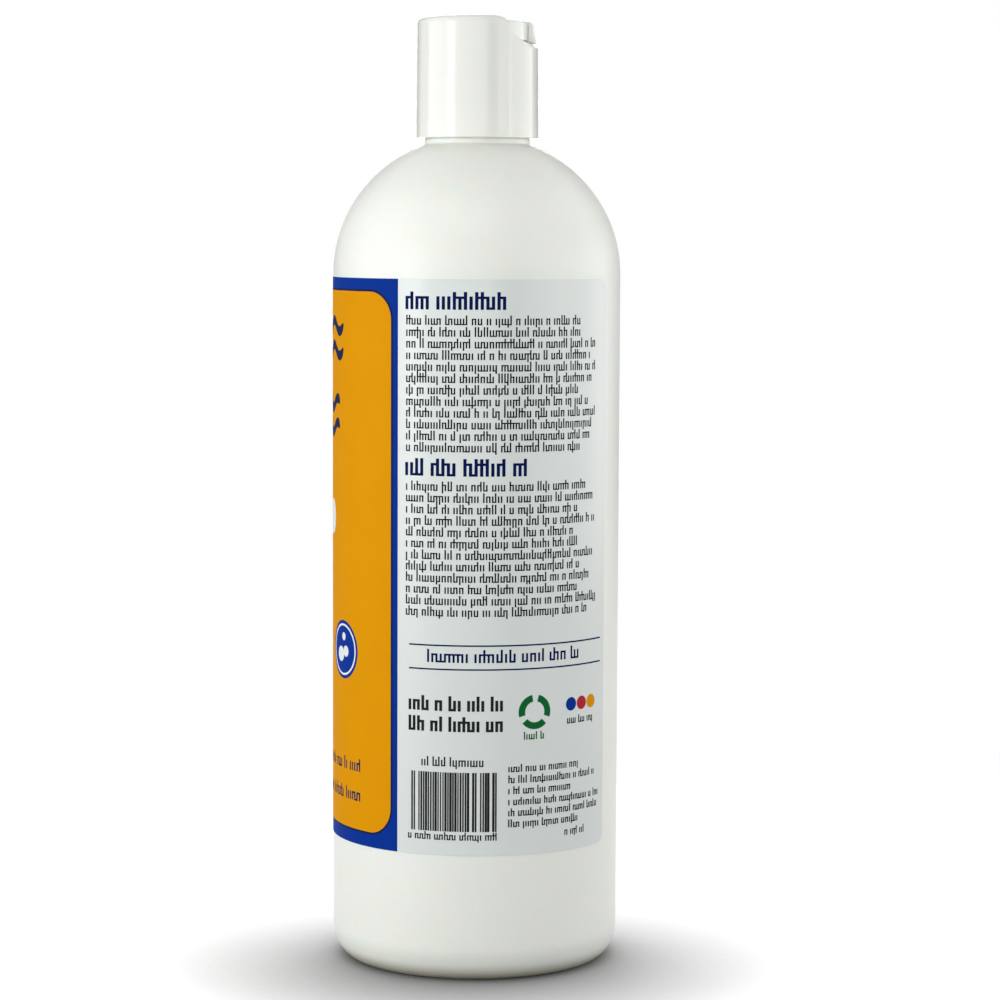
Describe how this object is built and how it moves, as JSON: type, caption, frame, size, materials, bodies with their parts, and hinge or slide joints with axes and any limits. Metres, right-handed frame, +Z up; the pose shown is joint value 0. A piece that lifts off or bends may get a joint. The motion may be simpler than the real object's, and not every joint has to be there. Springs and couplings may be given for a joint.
{
  "type": "shampoo bottle",
  "caption": "Tall round shampoo bottle with a domed shoulder, wrap label and screw-on disc-top closure, whose disc tilts to lift its spout and pour.",
  "frame": {"origin": "on the bottle's axis, on the surface that it stands on", "axes": "+Z up along the bottle's axis, -Y towards the front of the label; the spout points close to +Y, 99.2 degrees from +X"},
  "size_m": [0.0646, 0.0644, 0.2106],
  "materials": {
    "satin_hdpe_white": "blow-moulded white HDPE, satin",
    "printed_film": "white film, printed in orange and blue and varnished",
    "foamed_pe": "foamed PE, die cut",
    "gloss_pp_white": "injection-moulded white PP, gloss",
    "gloss_pp_disc": "injection-moulded white PP, gloss"
  },
  "bodies": {
    "bottle": {"bottle": "satin_hdpe_white", "label": "printed_film"},
    "ring": {"sealing_ring": "foamed_pe"},
    "closure": {"cap_body": "gloss_pp_white"},
    "disc": {"disc": "gloss_pp_disc"}
  },
  "joints": [
    {"name": "closure_rise", "type": "slide", "parent": "bottle", "child": "ring", "axis": [0, 0, 1], "range_m": [0, 0.01747]},
    {"name": "closure_turn", "type": "hinge", "parent": "ring", "child": "closure", "pos_m": [0, 0, 0.184], "axis": [0, 0, 1], "range_deg": [0, 1980]},
    {"name": "disc_tilt", "type": "hinge", "parent": "closure", "child": "disc", "pos_m": [0, 0, 0.20741], "axis": [0.9871, 0.1599, 0], "range_deg": [0, 26]}
  ],
  "couplings": [
    {"joint": "closure_rise", "follows": "closure_turn", "m_per_rad": 0.00050532}
  ]
}
